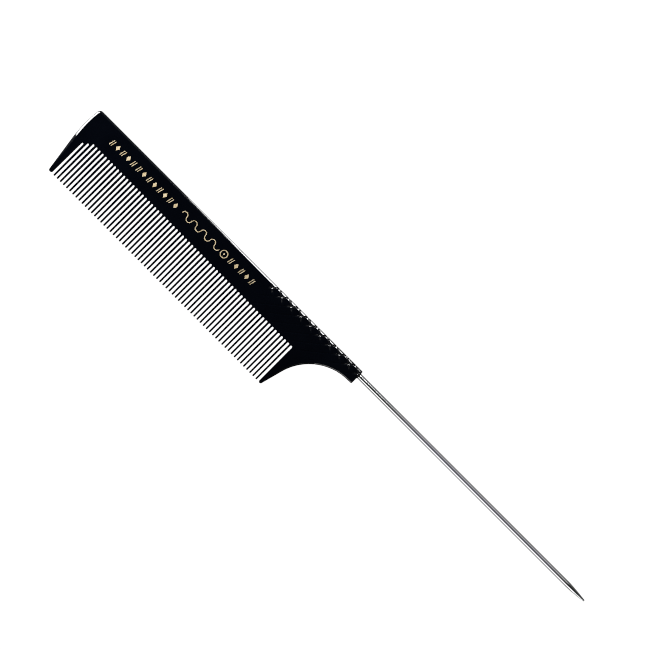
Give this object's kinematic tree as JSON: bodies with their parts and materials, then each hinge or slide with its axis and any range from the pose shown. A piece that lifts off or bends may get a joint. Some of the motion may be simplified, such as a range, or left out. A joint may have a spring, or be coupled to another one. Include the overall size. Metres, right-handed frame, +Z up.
{
  "type": "rat tail comb",
  "caption": "Flat rat tail comb: hard rubber head with fine sawn teeth, a neck with crossed grip grooves, and a long pointed steel pin for a tail.",
  "frame": {"origin": "middle of the underside of the whole comb's box, with the comb lying flat on one face", "axes": "+X along the comb from the free end of the head to the tip of the pin, +Y from the tips of the teeth to the back edge, +Z up through the thickness"},
  "size_m": [0.216, 0.0252, 0.0042],
  "materials": {
    "hard_rubber": "polished",
    "pin_steel": "polished",
    "cement": "satin",
    "gold_foil": "satin"
  },
  "bodies": {
    "root": {"comb_body": "hard_rubber", "tail_pin": "pin_steel", "pin_cement": "cement", "gold_stamp": "gold_foil"}
  },
  "joints": []
}
